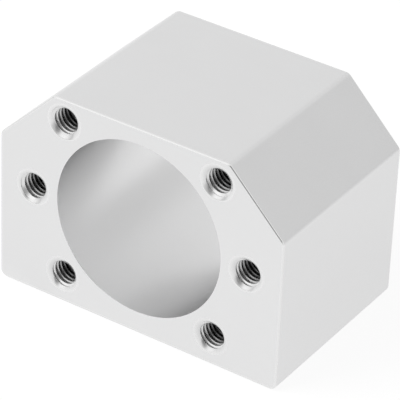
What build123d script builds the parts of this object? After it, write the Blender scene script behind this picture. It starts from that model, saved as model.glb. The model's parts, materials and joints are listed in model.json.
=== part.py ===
from build123d import *
import os
from math import cos, radians, sin, tan

# Ball screw nut housing: one aluminium block that joins the flanged nut of a ball screw to a machine table.
# The block is a length of bar with two sloping shoulders. It is bored right through for the nut's barrel,
# tapped in its front face for the nut's flange, and tapped under its base for the table's screws.
# Frame: origin at the centre of the base face, +X across the block, +Y along the bore from the flange face
# to the rear face, +Z up. Lengths are in millimetres and angles in degrees.

# The bore and the metal round it
BORE_DIAMETER = 36.0
BASE_WALL = 4.75  # under the bore, which keeps the cut sides of the nut's flange clear of the table
ROOF_WALL = 3.25  # over the bore
FLANGE_HOLE_LAND = 5.5  # from the bore's wall out to the axis of each flange hole
SIDE_LAND = 7.5  # from the outermost flange holes' axes to the side faces

# The bar
BLOCK_LENGTH = 40.0
SHOULDER_CUT = 12.0  # each leg of the sloping shoulders
LONG_EDGE_RADIUS = 1.5  # the bar's own rounded edges, along the bore
END_EDGE_RADIUS = 0.6  # blended round both end faces
BORE_EDGE_BREAK = 0.1

# Tapped holes, drilled at the thread's core diameter
CORE_DIAMETER = 5.0
MOUTH_DIAMETER = 7.4
MOUTH_ANGLE = 140
DRILL_POINT_ANGLE = 118.0
FLANGE_HOLE_DEPTH = 15.0
FLANGE_HOLE_ANGLES = (-45.0, 0.0, 45.0)  # up from the horizontal, on each side of the bore
BASE_HOLE_DEPTH = 14.0
BASE_HOLE_EDGE = 6.0  # from the side faces to the base holes' axes
BASE_HOLE_PITCH = 24.0  # along the bore

# How far a cutter starts outside the face that it enters
CUTTER_RUN_IN = 1.0

# Sizes that follow from the ones above
BORE_HEIGHT = BASE_WALL + BORE_DIAMETER / 2
BLOCK_HEIGHT = BORE_HEIGHT + BORE_DIAMETER / 2 + ROOF_WALL
FLANGE_CIRCLE_RADIUS = BORE_DIAMETER / 2 + FLANGE_HOLE_LAND
BLOCK_WIDTH = 2 * (FLANGE_CIRCLE_RADIUS + SIDE_LAND)
FRONT_Y = -BLOCK_LENGTH / 2
REAR_Y = BLOCK_LENGTH / 2


def bar_section():
    """The bar's cross-section, standing on its base, with both shoulders cut and every corner rounded."""
    blank = Rectangle(BLOCK_WIDTH, BLOCK_HEIGHT, align=(Align.CENTER, Align.MIN))
    top_corners = blank.vertices().group_by(Axis.Y)[-1]
    shouldered = chamfer(top_corners, SHOULDER_CUT)
    return fillet(shouldered.vertices(), LONG_EDGE_RADIUS)


def sawn_block():
    """A length of the bar, centred on the origin, with the outline of both end faces rounded."""
    block = extrude(Plane.XZ * bar_section(), BLOCK_LENGTH / 2, both=True)
    end_outlines = block.faces().filter_by(Axis.Y).edges()
    return fillet(end_outlines, END_EDGE_RADIUS)


def bore_cutter():
    """The through bore for the nut's barrel, widened by the edge break where it meets each end face."""
    radius = BORE_DIAMETER / 2
    wide = radius + BORE_EDGE_BREAK + CUTTER_RUN_IN
    half_profile = Polyline(
        (0, FRONT_Y - CUTTER_RUN_IN),
        (wide, FRONT_Y - CUTTER_RUN_IN),
        (radius, FRONT_Y + BORE_EDGE_BREAK),
        (radius, REAR_Y - BORE_EDGE_BREAK),
        (wide, REAR_Y + CUTTER_RUN_IN),
        (0, REAR_Y + CUTTER_RUN_IN),
        close=True,
    )
    return Pos(0, 0, BORE_HEIGHT) * revolve(make_face(half_profile), Axis.Y)


def tapped_hole_cutter(depth):
    """A blind hole with a countersunk mouth and a drill point, running down -Z from a face at Z 0."""
    core, mouth = CORE_DIAMETER / 2, MOUTH_DIAMETER / 2
    mouth_slope = tan(radians(MOUTH_ANGLE / 2))
    point_length = core / tan(radians(DRILL_POINT_ANGLE / 2))
    half_profile = Polyline(
        (0, CUTTER_RUN_IN),
        (mouth + CUTTER_RUN_IN * mouth_slope, CUTTER_RUN_IN),
        (core, -(mouth - core) / mouth_slope),
        (core, -depth),
        (0, -depth - point_length),
        close=True,
    )
    return revolve(Plane.XZ * make_face(half_profile), Axis.Z)


def flange_holes():
    """The holes for the nut's flange: the same three on each side of the bore, in the front face."""
    cutter = tapped_hole_cutter(FLANGE_HOLE_DEPTH)
    holes = []
    for side in (-1, 1):
        for angle in FLANGE_HOLE_ANGLES:
            x = side * FLANGE_CIRCLE_RADIUS * cos(radians(angle))
            z = BORE_HEIGHT + FLANGE_CIRCLE_RADIUS * sin(radians(angle))
            holes.append(Plane((x, FRONT_Y, z), x_dir=(1, 0, 0), z_dir=(0, -1, 0)) * cutter)
    return holes


def base_holes():
    """The four holes for the table's screws, which run up into the block from its base."""
    cutter = tapped_hole_cutter(BASE_HOLE_DEPTH)
    x = BLOCK_WIDTH / 2 - BASE_HOLE_EDGE
    y = BASE_HOLE_PITCH / 2
    return [
        Plane((side * x, end * y, 0), x_dir=(1, 0, 0), z_dir=(0, 0, -1)) * cutter
        for side in (-1, 1)
        for end in (-1, 1)
    ]


def nut_housing():
    """The whole housing, which is one machined piece."""
    return sawn_block() - bore_cutter() - flange_holes() - base_holes()


os.makedirs("parts", exist_ok=True)
export_step(nut_housing(), "parts/nut_housing.step")
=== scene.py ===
import json
import math

import bpy
from mathutils import Matrix, Vector
from mathutils.geometry import delaunay_2d_cdt


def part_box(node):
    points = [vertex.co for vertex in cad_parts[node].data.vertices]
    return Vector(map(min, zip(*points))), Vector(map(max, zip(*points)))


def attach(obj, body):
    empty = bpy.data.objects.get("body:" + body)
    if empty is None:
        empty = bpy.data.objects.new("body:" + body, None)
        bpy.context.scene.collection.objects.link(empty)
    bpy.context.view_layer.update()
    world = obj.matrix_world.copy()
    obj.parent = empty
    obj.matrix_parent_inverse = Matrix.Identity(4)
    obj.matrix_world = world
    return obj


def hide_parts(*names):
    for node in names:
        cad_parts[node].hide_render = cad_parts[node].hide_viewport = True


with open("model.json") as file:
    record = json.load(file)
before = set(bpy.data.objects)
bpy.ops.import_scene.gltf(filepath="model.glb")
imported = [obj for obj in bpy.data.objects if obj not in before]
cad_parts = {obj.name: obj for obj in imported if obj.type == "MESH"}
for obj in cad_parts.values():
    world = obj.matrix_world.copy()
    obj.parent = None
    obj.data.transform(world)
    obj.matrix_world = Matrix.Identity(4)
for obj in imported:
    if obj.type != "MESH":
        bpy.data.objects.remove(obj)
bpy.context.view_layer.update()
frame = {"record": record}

# Ball screw nut housing, in metres: one aluminium block with its bore, its rounded edges and its M6 threads.
# The block's outer size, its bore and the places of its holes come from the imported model. The sizes below are
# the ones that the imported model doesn't list.
MM = 0.001

# The block. The front face's edges are a little sharper than the others, as they look in the photograph
SHOULDER_CUT = 12.0 * MM
LONG_EDGE_RADIUS = 1.5 * MM
END_EDGE_RADIUS = 0.6 * MM
FRONT_EDGE_RADIUS = 0.35 * MM
BORE_EDGE_BREAK = 0.1 * MM

# The countersinks, which are dished: radius and tilt, from the face inwards
MOUTH_SLOPES = [
    (3.75 * MM, math.radians(0.0)),
    (3.52 * MM, math.radians(19.0)),
    (3.00 * MM, math.radians(23.0)),
    (2.40 * MM, math.radians(32.0)),
]
MOUTH_STEP = 0.01 * MM
MOUTH_ROW = 0.05 * MM

# The tapped holes, as deep as they are drilled at full width
FLANGE_HOLE_DEPTH = 15.0 * MM
BASE_HOLE_DEPTH = 14.0 * MM
DRILL_POINT_ANGLE = math.radians(118.0)

# The M6 thread. Its flats and the rounding of its corners are shares of the pitch
PITCH = 1.0 * MM
THREAD_DEPTH = 0.54 * MM
CREST_FLAT = 0.25
ROOT_FLAT = 0.14
CORNER = 0.035
RUN_OUT = 1.5 * PITCH
PLAIN_END = 2.5 * MM

# How wide the edge between a countersink and its thread is rounded, and the step for measuring slopes
EDGE_BLEND = 0.05 * MM
NUDGE = 0.01 * MM

# Where each flange hole's thread starts, as a share of a turn: left then right, each from the top down
THREAD_STARTS = (0.87, 0.12, 0.60, 0.47, 0.72, 0.76)

# How finely the round surfaces are divided
BORE_COLUMNS = 240
BORE_EDGE_STEPS = 3
END_EDGE_STEPS = 8
FLANGE_HOLE_COLUMNS = 72
BASE_HOLE_COLUMNS = 48
LONG_EDGE_STEP = math.radians(5.0)

# Points nearer to each other than this are one vertex
WELD = 1e-7

# The least cosine between two directions that count as one, and the least doubled area that counts as a face
SAME_WAY = 0.99999
NO_AREA = 1e-14


class Skin:
    """A closed mesh put together from patches, which share the vertices along their borders."""

    def __init__(self):
        self.points = []
        self.depths = []
        self.index = {}
        self.faces = []
        self.normals = []
        self.slots = []

    def vertex(self, point, depth):
        """The number of the vertex at a point, which is made only once."""
        key = tuple(round(value / WELD) for value in point)
        if key not in self.index:
            self.index[key] = len(self.points)
            self.points.append(tuple(point))
            self.depths.append(depth)
        return self.index[key]

    def face(self, corners, slot):
        """Adds a face from its corners, anticlockwise as seen from outside the metal. A corner is a point,
        its normal and, in a tapped hole, its depth below the face."""
        ring = []
        for point, normal, *below in corners:
            number = self.vertex(point, below[0] if below else 0.0)
            if number not in [other for other, _ in ring]:
                ring.append((number, normal))
        if len(ring) > 2:
            self.faces.append([number for number, _ in ring])
            self.normals.extend(tuple(normal) for _, normal in ring)
            self.slots.append(slot)

    def band(self, first, second, slot, closed=True):
        """Joins two rows of corners that run the same way round, the second one to the left of the first."""
        count = len(first)
        for here in range(count if closed else count - 1):
            ahead = (here + 1) % count
            self.face([first[here], first[ahead], second[ahead], second[here]], slot)

    def sheet(self, outline, holes, normal, slot):
        """Fills a flat outline round its round holes. A hole is its centre, radius and rim's points."""
        across = normal.orthogonal().normalized()
        along = normal.cross(across)
        points = list(outline)
        rings = [list(range(len(outline)))]
        for _, _, rim in holes:
            rings.append(list(range(len(points), len(points) + len(rim))))
            points.extend(rim)
        scale = 1.0 / MM
        flat = [Vector((point.dot(across), point.dot(along))) * scale for point in points]
        edges = [(ring[i], ring[(i + 1) % len(ring)]) for ring in rings for i in range(len(ring))]
        out, _, faces, origins, _, _ = delaunay_2d_cdt(flat, edges, [], 0, 1e-6)
        for face in faces:
            own = [points[origins[number][0]] for number in face]
            middle = sum(own, Vector()) / len(own)
            if any((middle - centre).length < radius * SAME_WAY and
                   all(abs((point - centre).length - radius) < WELD * 10 for point in own)
                   for centre, radius, _ in holes):
                continue
            turn = (own[1] - own[0]).cross(own[2] - own[0])
            if turn.length < NO_AREA:
                continue
            if turn.dot(normal) < 0:
                own.reverse()
            self.face([(point, normal) for point in own], slot)

    def build(self, name, materials):
        """Makes the object, with each tapped hole's depth kept for its materials."""
        mesh = bpy.data.meshes.new(name)
        mesh.from_pydata(self.points, [], self.faces)
        for material in materials:
            mesh.materials.append(material)
        mesh.polygons.foreach_set("material_index", self.slots)
        mesh.polygons.foreach_set("use_smooth", [True] * len(self.faces))
        mesh.attributes.new("depth", "FLOAT", "POINT").data.foreach_set("value", self.depths)
        mesh.normals_split_custom_set(self.normals)
        mesh.update()
        piece = bpy.data.objects.new(name, mesh)
        bpy.context.scene.collection.objects.link(piece)
        return piece


# Which material a face takes
FACE, BEVEL, BORE, THREAD, MOUTH = range(5)

LOW, HIGH = (Vector(corner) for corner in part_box("nut_housing"))
MOUNTS = {mount["name"]: mount for mount in frame["record"]["mounts"]}
BORE_RADIUS = MOUNTS["nut_bore"]["dims"]["r_mm"] * MM
BORE_HEIGHT = MOUNTS["nut_bore"]["pos_m"][2]
CORE_RADIUS = MOUNTS["base_bolts"]["dims"]["hole_r_mm"] * MM
FRONT = Vector((0, -1, 0))
REAR = Vector((0, 1, 0))
DOWN = Vector((0, 0, -1))


def section():
    """The block's cross-section as (x, z, normal) triples, anticlockwise as seen from the front face."""
    corners = [
        (HIGH.x, LOW.z),
        (HIGH.x, HIGH.z - SHOULDER_CUT),
        (HIGH.x - SHOULDER_CUT, HIGH.z),
        (LOW.x + SHOULDER_CUT, HIGH.z),
        (LOW.x, HIGH.z - SHOULDER_CUT),
        (LOW.x, LOW.z),
    ]
    triples = []
    for number, corner in enumerate(corners):
        here = Vector(corner)
        arriving = (here - Vector(corners[number - 1])).normalized()
        leaving = (Vector(corners[(number + 1) % len(corners)]) - here).normalized()
        turn = arriving.angle(leaving)
        inward = Vector((-arriving.y, arriving.x))
        start = here - arriving * LONG_EDGE_RADIUS * math.tan(turn / 2)
        centre = start + inward * LONG_EDGE_RADIUS
        first = math.atan2(-inward.y, -inward.x)
        steps = max(4, round(turn / LONG_EDGE_STEP))
        for step in range(steps + 1):
            angle = first + turn * step / steps
            way = Vector((math.cos(angle), math.sin(angle)))
            place = centre + way * LONG_EDGE_RADIUS
            triples.append((place.x, place.y, Vector((way.x, 0, way.y))))
    return triples


def end_edge_radius(face, normal):
    """The front face's edges are sharper than the base's and the rear face's."""
    if face == REAR:
        return END_EDGE_RADIUS
    low = max(0.0, normal.dot(DOWN))
    return FRONT_EDGE_RADIUS + (END_EDGE_RADIUS - FRONT_EDGE_RADIUS) * low


def round_rows(radius, steps):
    """The rows of a rounded edge: each row's distance in from the side, its depth below the end face, and how
    far it has turned from the end face to the side."""
    rows = []
    for step in range(steps + 1):
        angle = math.pi / 2 * step / steps
        rows.append((radius * (1 - math.sin(angle)), radius * (1 - math.cos(angle)), angle))
    return rows


def outside(skin):
    """The bar's sides and the rounded edge of both end faces, up to the end faces and the base."""
    triples = section()
    ends = []
    for end, face in ((LOW.y, FRONT), (HIGH.y, REAR)):
        rows = []
        for inset, depth, angle in round_rows(1.0, END_EDGE_STEPS):
            row = []
            for x, z, normal in triples:
                radius = end_edge_radius(face, normal)
                point = Vector((x, end, z)) - (normal * inset + face * depth) * radius
                row.append((point, face * math.cos(angle) + normal * math.sin(angle)))
            rows.append(row)
        ends.append(rows)
    front_rows, rear_rows = ends
    for outer, inner in zip(front_rows, front_rows[1:]):
        skin.band(inner, outer, BEVEL)
    for outer, inner in zip(rear_rows, rear_rows[1:]):
        skin.band(outer, inner, BEVEL)
    front, rear = front_rows[-1], rear_rows[-1]
    base = []
    count = len(front)
    for here in range(count):
        ahead = (here + 1) % count
        quad = [rear[here], rear[ahead], front[ahead], front[here]]
        if all(normal.dot(DOWN) > SAME_WAY for _, normal in quad):
            base = [point for point, _ in quad]
            continue
        skin.face(quad, FACE)
    front_outline = [point for point, _ in front_rows[0]]
    rear_outline = [point for point, _ in rear_rows[0]]
    return front_outline, rear_outline, base


def circle(centre, across, up, radius, columns):
    """Points round a circle, with the way out from its centre to each."""
    ring = []
    for column in range(columns):
        angle = 2 * math.pi * column / columns
        way = across * math.cos(angle) + up * math.sin(angle)
        ring.append((centre + way * radius, way))
    return ring


def bore(skin):
    """The bore's wall and the break at both its mouths. Returns each mouth's hole for the end faces."""
    across, up = Vector((1, 0, 0)), Vector((0, 0, 1))
    rows = []
    mouths = []
    for end, face in ((LOW.y, FRONT), (HIGH.y, REAR)):
        own = []
        centre = Vector((0, end, BORE_HEIGHT))
        for inset, depth, angle in round_rows(BORE_EDGE_BREAK, BORE_EDGE_STEPS):
            ring = circle(centre - face * depth, across, up, BORE_RADIUS + inset, BORE_COLUMNS)
            own.append([(point, face * math.cos(angle) - way * math.sin(angle)) for point, way in ring])
        mouths.append((centre, BORE_RADIUS + BORE_EDGE_BREAK, [point for point, _ in own[0]]))
        rows.append(own)
    front, rear = rows
    for outer, inner in zip(front, front[1:]):
        skin.band(outer, inner, BEVEL)
    skin.band(front[-1], rear[-1], BORE)
    for outer, inner in zip(rear, rear[1:]):
        skin.band(inner, outer, BEVEL)
    return mouths


def thread_corners():
    """One pitch of the thread as (place, share) pairs. The share is 0 on the crest and 1 at the root."""
    flank = (1 - CREST_FLAT - ROOT_FLAT) / 2
    return [
        (0.0, 0.0),
        (CREST_FLAT / 2, 0.0),
        (CREST_FLAT, 0.0),
        (CREST_FLAT + CORNER, CORNER / flank),
        (CREST_FLAT + flank - CORNER, 1 - CORNER / flank),
        (CREST_FLAT + flank, 1.0),
        (CREST_FLAT + flank + ROOT_FLAT, 1.0),
        (CREST_FLAT + flank + ROOT_FLAT + CORNER, 1 - CORNER / flank),
        (1 - CORNER, CORNER / flank),
        (1.0, 0.0),
    ]


def thread_share(place):
    """How far the thread is cut at a place along its pitch: 0 on the crest, 1 at the root."""
    place %= 1.0
    corners = thread_corners()
    for (before, low), (after, high) in zip(corners, corners[1:]):
        if place <= after:
            return low + (high - low) * (place - before) / (after - before)
    return 0.0


def mouth_rows():
    """The countersink as (radius, depth, slope) rows, from the face inwards. The slope is how fast the radius
    changes with the depth."""
    radius, below, gone = MOUTH_SLOPES[0][0], 0.0, 0.0
    rows = [(radius, below, None)]
    for (outer, flatter), (inner, steeper) in zip(MOUTH_SLOPES, MOUTH_SLOPES[1:]):
        steps = round((outer - inner) / MOUTH_STEP)
        for step in range(steps):
            tilt = flatter + (steeper - flatter) * (step + 1) / steps
            middle = flatter + (steeper - flatter) * (step + 0.5) / steps
            run = (outer - inner) / steps
            radius -= run
            below += run * math.tan(middle)
            gone += run
            if gone >= MOUTH_ROW:
                rows.append((radius, below, -1 / math.tan(tilt)))
                gone = 0.0
    return rows


def tapped_hole(skin, centre, axis, depth, columns, start=0.0):
    """A countersunk mouth, a right-handed thread that starts a share of a turn in, and a drill point. Returns
    the hole for the face it is in."""
    across = axis.orthogonal().normalized()
    up = axis.cross(across)
    threaded = depth - PLAIN_END

    def thread(turn, below):
        """The threaded wall's radius. The thread runs out towards the bottom of the hole."""
        share = thread_share(below / PITCH - turn - start) * min(1.0, max(0.0, threaded - below) / RUN_OUT)
        return CORE_RADIUS + THREAD_DEPTH * share

    def corner(column, below, cone=None, cone_slope=0.0):
        """A point of the wall, and whether it is on the countersink, whose radius there is cone. Where both
        meet, the edge between them is rounded."""
        turn = column / columns
        angle = 2 * math.pi * turn
        way = across * math.cos(angle) + up * math.sin(angle)
        along = up * math.cos(angle) - across * math.sin(angle)
        radius = thread(turn, below)
        slope = (thread(turn, below + NUDGE) - thread(turn, below - NUDGE)) / (2 * NUDGE)
        lead = -slope * PITCH / (2 * math.pi * radius)
        sunk = cone is not None and cone > radius
        if cone is not None:
            spread = math.hypot(cone - radius, EDGE_BLEND)
            weight = (1 + (cone - radius) / spread) / 2
            radius = (cone + radius + spread) / 2
            slope = weight * cone_slope + (1 - weight) * slope
            lead *= 1 - weight
        normal = (axis * slope + along * lead - way).normalized()
        return (centre + axis * below + way * radius, normal, below), sunk

    def mouth_corner(column, row):
        """A point of the countersink or, where the thread is cut deeper, of the thread."""
        radius, below, slope = row
        if slope is None:
            angle = 2 * math.pi * column / columns
            way = across * math.cos(angle) + up * math.sin(angle)
            return (centre + way * radius, -axis, 0.0), True
        return corner(column, below, radius, slope)

    mouth = mouth_rows()
    reach = mouth[-1][1]
    levels = []
    for turn in range(-2, math.ceil(threaded / PITCH) + 1):
        for place, _ in thread_corners()[:-1]:
            levels.append((turn + place + start) * PITCH)
    lines = []
    for column in range(columns + 1):
        line = [mouth_corner(column, row) for row in mouth]
        for level in levels:
            line.append(corner(column, min(max(level + PITCH * column / columns, reach), threaded)))
        lines.append(line)
    for left, right in zip(lines, lines[1:]):
        for row in range(len(left) - 1):
            quad = [left[row], left[row + 1], right[row + 1], right[row]]
            slot = MOUTH if all(sunk for _, sunk in quad) else THREAD
            skin.face([point for point, _ in quad], slot)
    ways = [way for _, way in circle(Vector(), across, up, 1.0, columns)]
    upper, lower = (
        [(centre + axis * below + way * CORE_RADIUS, -way, below) for way in ways]
        for below in (threaded, depth)
    )
    skin.band(lower, upper, THREAD)
    tip = centre + axis * (depth + CORE_RADIUS / math.tan(DRILL_POINT_ANGLE / 2))
    slant = math.tan(math.pi / 2 - DRILL_POINT_ANGLE / 2)
    lip = [(point, (-axis - way * slant).normalized(), depth) for (point, _, _), way in zip(lower, ways)]
    for here in range(columns):
        skin.face([lip[(here + 1) % columns], lip[here], (tip, -axis, depth)], THREAD)
    rim = mouth[0][0]
    return centre, rim, [centre + way * rim for way in ways]


def flange_hole_centres():
    """Each flange hole's centre, with the share of a turn at which its thread starts."""
    diagonal = MOUNTS["flange_bolts_diagonal"]["dims"]
    side = MOUNTS["flange_bolts_side"]["dims"]
    across = diagonal["spacing_x_mm"] / 2 * MM
    up = diagonal["spacing_y_mm"] / 2 * MM
    level = side["spacing_x_mm"] / 2 * MM
    places = [(-across, up), (-level, 0.0), (-across, -up), (across, up), (level, 0.0), (across, -up)]
    return [(Vector((x, LOW.y, BORE_HEIGHT + z)), start) for (x, z), start in zip(places, THREAD_STARTS)]


def base_hole_centres():
    """The centres of the four holes in the base."""
    dims = MOUNTS["base_bolts"]["dims"]
    across = dims["spacing_x_mm"] / 2 * MM
    along = dims["spacing_y_mm"] / 2 * MM
    return [Vector((x * across, y * along, LOW.z)) for x in (-1, 1) for y in (-1, 1)]


def housing(materials):
    """The whole block as one closed mesh."""
    skin = Skin()
    front_outline, rear_outline, base_outline = outside(skin)
    front_mouth, rear_mouth = bore(skin)
    flange = [
        tapped_hole(skin, centre, REAR, FLANGE_HOLE_DEPTH, FLANGE_HOLE_COLUMNS, start)
        for centre, start in flange_hole_centres()
    ]
    base = [
        tapped_hole(skin, centre, -DOWN, BASE_HOLE_DEPTH, BASE_HOLE_COLUMNS)
        for centre in base_hole_centres()
    ]
    skin.sheet(front_outline, [front_mouth] + flange, FRONT, FACE)
    skin.sheet(rear_outline, [rear_mouth], REAR, FACE)
    skin.sheet(base_outline, base, DOWN, FACE)
    return skin.build("housing_block", materials)


class Nodes:
    """A short way to write a node tree."""

    def __init__(self, tree):
        self.tree = tree
        self.tree.nodes.clear()

    def add(self, kind, inputs=None, **settings):
        """A node, whose inputs are linked to a socket or set to a value."""
        node = self.tree.nodes.new("ShaderNode" + kind)
        for name, value in settings.items():
            setattr(node, name, value)
        for name, value in (inputs or {}).items():
            socket = node.inputs[name]
            if isinstance(value, bpy.types.NodeSocket):
                self.tree.links.new(value, socket)
            else:
                socket.default_value = value
        return node

    def math(self, operation, *values, clamp=False):
        """The result of one step of arithmetic."""
        inputs = {number: value for number, value in enumerate(values)}
        return self.add("Math", inputs, operation=operation, use_clamp=clamp).outputs[0]

    def blend(self, factor, first, second):
        """A number between two others."""
        return self.add("Mix", {0: factor, 2: first, 3: second}, data_type="FLOAT").outputs[0]

    def tint(self, factor, first, second):
        """A colour between two others."""
        return self.add("Mix", {0: factor, 6: first, 7: second}, data_type="RGBA").outputs[2]

    def spread(self, value, low, high, to_low, to_high, smooth=False):
        """A range of numbers laid over another one, and held at its ends."""
        kind = "SMOOTHSTEP" if smooth else "LINEAR"
        inputs = {0: value, 1: low, 2: high, 3: to_low, 4: to_high}
        return self.add("MapRange", inputs, interpolation_type=kind, clamp=True).outputs[0]


# The size of each surface's grain, the broad clouds in its colour, how far the colour may be from its mean,
# and the height of the relief
FACE_GRAIN = 0.16 * MM
BORE_GRAIN = 0.14 * MM
EDGE_GRAIN = 0.10 * MM
THREAD_GRAIN = 0.08 * MM
CLOUD_SCALE = 90.0
CLOUD_SWING = 0.006
COLOUR_REACH = 0.06
RELIEF = 0.02 * MM

# The noise that the grain and the clouds are made of: its detail, how rough each of them is, the range it
# mostly keeps to, and how much the clouds count in a surface's roughness
NOISE_DETAIL = 3.0
GRAIN_NOISE = 0.65
CLOUD_NOISE = 0.55
NOISE_LOW = 0.3
NOISE_HIGH = 0.7
CLOUD_SHARE = 0.5


def grey(value, blue=0.002):
    """A grey with a trace of blue, as anodised aluminium has."""
    return value, value, value + blue


def metal(name, colour, roughness, rough_swing, grain, grain_swing, bump):
    """Satin aluminium. Its grain shows in its colour, its roughness and its bump. Returns the material, its
    nodes, its shader and its shade, for what a surface adds."""
    material = bpy.data.materials.new(name)
    material.use_nodes = True
    nodes = Nodes(material.node_tree)
    place = nodes.add("TexCoord").outputs["Object"]
    fine, broad = (
        nodes.add("TexNoise", {
            "Vector": place,
            "Scale": scale,
            "Detail": NOISE_DETAIL,
            "Roughness": rough,
        }).outputs[0]
        for scale, rough in ((1 / grain, GRAIN_NOISE), (CLOUD_SCALE, CLOUD_NOISE))
    )
    level = nodes.math("ADD", nodes.spread(fine, NOISE_LOW, NOISE_HIGH, -grain_swing, grain_swing),
                       nodes.spread(broad, NOISE_LOW, NOISE_HIGH, -CLOUD_SWING, CLOUD_SWING))
    light = tuple(min(1.0, value + COLOUR_REACH) for value in colour)
    dark = tuple(value - COLOUR_REACH for value in colour)
    share = nodes.math("ADD", 0.5, nodes.math("MULTIPLY", level, 0.5 / COLOUR_REACH), clamp=True)
    shade = nodes.tint(share, (*dark, 1.0), (*light, 1.0))
    both = nodes.math("ADD", fine, nodes.math("MULTIPLY", broad, CLOUD_SHARE))
    rough = nodes.spread(both, NOISE_LOW * (1 + CLOUD_SHARE), NOISE_HIGH * (1 + CLOUD_SHARE),
                         roughness - rough_swing, roughness + rough_swing)
    relief = nodes.add("Bump", {"Strength": bump, "Distance": RELIEF, "Height": fine}).outputs[0]
    shader = nodes.add("BsdfPrincipled", {
        "Base Color": shade,
        "Metallic": 1.0,
        "Roughness": rough,
        "Normal": relief,
    })
    nodes.add("OutputMaterial", {"Surface": shader.outputs[0]})
    return material, nodes, shader, shade


def paint_depth_shade(nodes, shader, shade, high, low, deepest):
    """Paints shade into a tapped hole's colour: it falls from the surface's tone at one depth to a darker
    grey at another, where less light reaches. Returns the shader."""
    depth = nodes.add("Attribute", attribute_name="depth").outputs["Fac"]
    down = nodes.spread(depth, high, low, 0.0, 1.0)
    deep = nodes.tint(down, shade, (*grey(deepest), 1.0))
    nodes.tree.links.new(deep, shader.inputs["Base Color"])
    return shader


def face_metal():
    """Blasted and clear anodised faces."""
    return metal("aluminium_face", grey(0.82), roughness=0.40, rough_swing=0.04, grain=FACE_GRAIN,
                 grain_swing=0.02, bump=0.25)[0]


def bevel_metal():
    """The rounded edges, which are smoother than the faces."""
    return metal("aluminium_edge", grey(0.82, blue=0.0), roughness=0.22, rough_swing=0.03, grain=EDGE_GRAIN,
                 grain_swing=0.02, bump=0.1)[0]


def bore_metal():
    """The bored wall, smoother than the faces and duller where it is seen at a low angle."""
    material, _, shader, _ = metal("aluminium_bore", grey(0.85), roughness=0.34, rough_swing=0.03,
                                   grain=BORE_GRAIN, grain_swing=0.015, bump=0.15)
    shader.inputs["Specular Tint"].default_value = (0.75, 0.75, 0.75, 1.0)
    return material


def mouth_metal():
    """The countersinks, with painted shade: a little darker where they meet the threads."""
    material, *parts = metal("aluminium_mouth", grey(0.82, blue=0.0), roughness=0.17, rough_swing=0.03,
                             grain=EDGE_GRAIN, grain_swing=0.02, bump=0.1)
    paint_depth_shade(*parts, high=0.0, low=0.4 * MM, deepest=0.66)
    return material


def thread_metal():
    """The tapped threads, with painted shade: darker towards the bottom of a hole."""
    material, *parts = metal("aluminium_thread", grey(0.82, blue=0.0), roughness=0.21, rough_swing=0.04,
                             grain=THREAD_GRAIN, grain_swing=0.03, bump=0.2)
    shader = paint_depth_shade(*parts, high=1.2 * MM, low=4.2 * MM, deepest=0.16)
    shader.inputs["Metallic"].default_value = 0.8
    return material


# The studio is a white tent. A shade in it is a direction, the angles from there in degrees where it is full
# and where it has gone, and how much of the tent's level it takes away. They stand, in this order, for the
# camera's opening, a dark stand ahead, the grey back right, its low end, the grey left and a bright panel.
TENT_LEVEL = 1.0
PLAIN_LEVEL = 0.6
TENT_SHADES = [
    (Vector((0.45, -0.71, 0.54)), 8.0, 26.0, 0.80),
    (Vector((0.09, -0.985, 0.08)), 12.0, 25.0, 0.66),
    (Vector((0.30, 0.85, 0.45)), 20.0, 80.0, 0.175),
    (Vector((0.67, 0.71, 0.15)), 3.0, 38.0, 0.13),
    (Vector((-1.0, -0.06, 0.0)), 5.0, 25.0, 0.25),
    (Vector((-0.42, -0.85, 0.30)), 10.0, 26.0, -0.22),
]

# The floor glows white, apart from a matt share that shows the block's shadow. In the block's polish it is a
# little less bright behind the block, and darker far ahead of it.
FLOOR_HALF = 2.0
FLOOR_GAP = 0.02 * MM
FLOOR_MATT = 0.14
FLOOR_SEEN_LEVEL = 1.02
FLOOR_NEAR_LEVEL = 1.02
FLOOR_BACK_LEVEL = 0.98
FLOOR_BACK_WAY = (0.53, 0.85, 0.0)
FLOOR_BACK_START = -60.0 * MM
FLOOR_BACK_END = 30.0 * MM
FLOOR_AHEAD_START = -140.0 * MM
FLOOR_AHEAD_END = -260.0 * MM
FLOOR_AHEAD_SHARE = 0.6


def tent(nodes, way):
    """The tent's brightness in the direction of the vector way."""
    level = TENT_LEVEL
    for centre, inner, outer, amount in TENT_SHADES:
        side = nodes.add("VectorMath", {0: way, 1: tuple(centre.normalized())}, operation="DOT_PRODUCT")
        shade = nodes.spread(side.outputs["Value"], math.cos(math.radians(outer)),
                             math.cos(math.radians(inner)), 0.0, amount, smooth=True)
        level = nodes.math("SUBTRACT", level, shade)
    return level


def ray_kinds(nodes):
    """Two switches: 1 for the rays that see the background plainly or through something clear, and 1 for
    those that see it in a polish."""
    path = nodes.add("LightPath").outputs
    plain = nodes.math("MAXIMUM", path["Is Camera Ray"], path["Is Transmission Ray"])
    return plain, path["Is Glossy Ray"]


def sky():
    """The tent as the block's polish shows it, a plain level for the rest, and white for the camera."""
    world = bpy.data.worlds.new("tent")
    bpy.context.scene.world = world
    world.use_nodes = True
    nodes = Nodes(world.node_tree)
    way = nodes.add("TexCoord").outputs["Generated"]
    plain, glossy = ray_kinds(nodes)
    level = nodes.blend(glossy, PLAIN_LEVEL, tent(nodes, way))
    level = nodes.blend(plain, level, 1.0)
    background = nodes.add("Background", {"Color": (1.0, 1.0, 1.0, 1.0), "Strength": level})
    nodes.add("OutputWorld", {"Surface": background.outputs[0]})


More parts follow.
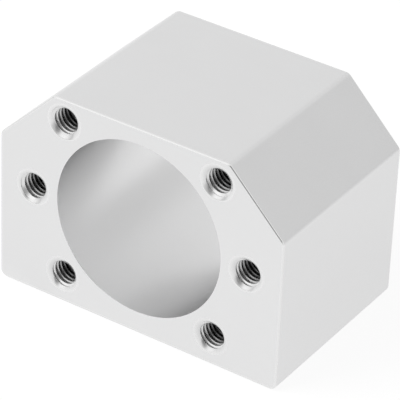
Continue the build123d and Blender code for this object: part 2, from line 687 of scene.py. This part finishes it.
def floor():
    """The floor under the block, which shows its shadow."""
    half = FLOOR_HALF
    mesh = bpy.data.meshes.new("floor")
    corners = [(-half, -half, 0), (half, -half, 0), (half, half, 0), (-half, half, 0)]
    mesh.from_pydata(corners, [], [(0, 1, 2, 3)])
    plane = bpy.data.objects.new("floor", mesh)
    plane.location.z = -FLOOR_GAP
    bpy.context.scene.collection.objects.link(plane)
    material = bpy.data.materials.new("floor")
    material.use_nodes = True
    mesh.materials.append(material)
    nodes = Nodes(material.node_tree)
    plain, glossy = ray_kinds(nodes)
    place = nodes.add("NewGeometry").outputs["Position"]
    back = nodes.add("VectorMath", {0: place, 1: FLOOR_BACK_WAY}, operation="DOT_PRODUCT").outputs["Value"]
    level = nodes.spread(back, FLOOR_BACK_START, FLOOR_BACK_END,
                         FLOOR_NEAR_LEVEL - FLOOR_MATT, FLOOR_BACK_LEVEL - FLOOR_MATT, smooth=True)
    along = nodes.add("SeparateXYZ", {0: place}).outputs["Y"]
    ahead = nodes.spread(along, FLOOR_AHEAD_END, FLOOR_AHEAD_START, FLOOR_AHEAD_SHARE, 1.0, smooth=True)
    level = nodes.math("MULTIPLY", glossy, nodes.math("MULTIPLY", level, ahead))
    level = nodes.blend(plain, level, FLOOR_SEEN_LEVEL - FLOOR_MATT)
    glow = nodes.add("Emission", {"Color": (1.0, 1.0, 1.0, 1.0), "Strength": level})
    matt = nodes.add("BsdfDiffuse", {"Color": (FLOOR_MATT, FLOOR_MATT, FLOOR_MATT, 1.0), "Roughness": 0.0})
    both = nodes.add("AddShader", {0: glow.outputs[0], 1: matt.outputs[0]})
    nodes.add("OutputMaterial", {"Surface": both.outputs[0]})


def soft_lamp(name, way, distance, size, power):
    """A soft square lamp that points at the block. It lights the floor and any matt surface."""
    light = bpy.data.lights.new(name, "AREA")
    light.shape = "SQUARE"
    light.size = size
    light.energy = power
    lamp = bpy.data.objects.new(name, light)
    centre = (LOW + HIGH) / 2
    lamp.location = centre + way.normalized() * distance
    lamp.rotation_euler = way.to_track_quat("Z", "Y").to_euler()
    lamp.visible_glossy = False
    bpy.context.scene.collection.objects.link(lamp)


def camera():
    """The photograph's view of the block."""
    azimuth = math.radians(32.6639)
    elevation = math.radians(32.9669)
    roll = math.radians(-2.4902)
    distance = 558.170 * MM
    aside = 0.17 * MM
    raised = -2.67688 * MM
    back = Vector((
        math.sin(azimuth) * math.cos(elevation),
        -math.cos(azimuth) * math.cos(elevation),
        math.sin(elevation),
    ))
    level_right = (-back).cross(Vector((0, 0, 1))).normalized()
    level_down = (-back).cross(level_right)
    right = level_right * math.cos(roll) + level_down * math.sin(roll)
    down = level_down * math.cos(roll) - level_right * math.sin(roll)
    target = (LOW + HIGH) / 2 + right * aside - down * raised
    data = bpy.data.cameras.new("camera")
    data.sensor_width = 36.0
    data.lens = 270.435
    data.clip_start = 0.05
    data.clip_end = 10.0
    eye = bpy.data.objects.new("camera", data)
    turned = Matrix((right, -down, back)).transposed()
    eye.matrix_world = Matrix.Translation(target + back * distance) @ turned.to_4x4()
    bpy.context.scene.collection.objects.link(eye)
    bpy.context.scene.camera = eye


block = housing([face_metal(), bevel_metal(), bore_metal(), thread_metal(), mouth_metal()])
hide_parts("nut_housing")
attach(block, "root")

sky()
floor()
soft_lamp("key", Vector((-0.55, -0.5, 0.9)), distance=0.7, size=0.5, power=3.0)
camera()
bpy.context.scene.view_settings.view_transform = "Standard"
